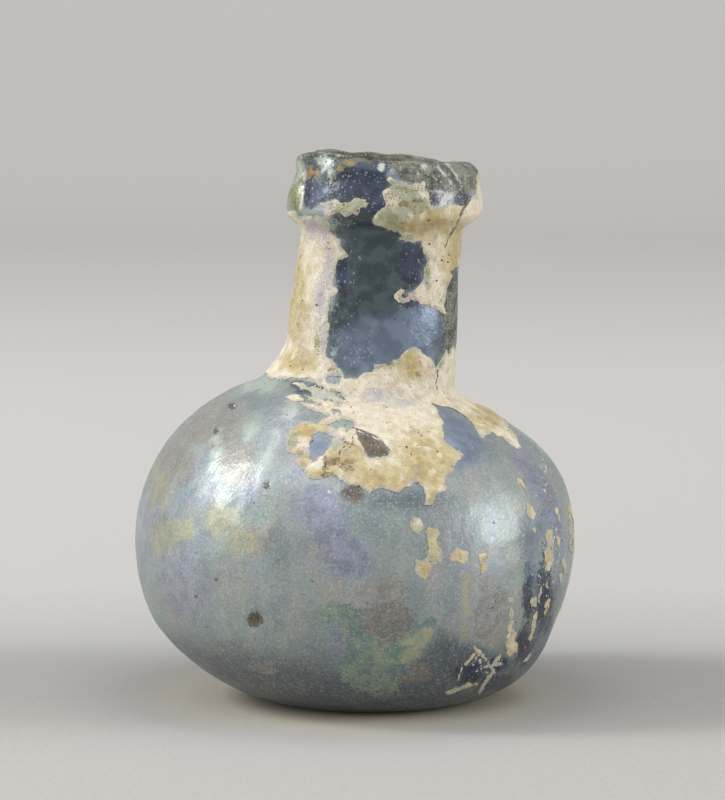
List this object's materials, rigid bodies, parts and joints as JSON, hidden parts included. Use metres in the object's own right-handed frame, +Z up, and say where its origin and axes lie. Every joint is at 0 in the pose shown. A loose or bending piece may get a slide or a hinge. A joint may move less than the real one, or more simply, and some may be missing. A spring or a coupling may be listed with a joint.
{
  "type": "roman glass unguentarium",
  "caption": "Small free-blown glass scent bottle with a squat round body, short neck and folded collar rim, hollow and open at the mouth.",
  "frame": {"origin": "on the ground, under the middle of the bottle's bounding box", "axes": "+Z up through the mouth, +X to the side that the neck leans to, -Y to the side that the picture shows"},
  "size_m": [0.055, 0.0546, 0.0685],
  "materials": {
    "weathered_glass": "satin blue-grey glass with an iridescent weathering film, fine pits and speckles",
    "burial_crust": "matt cream to ochre burial crust, flaking, with a ragged edge"
  },
  "bodies": {
    "root": {"glass_flask": "weathered_glass"}
  },
  "joints": []
}
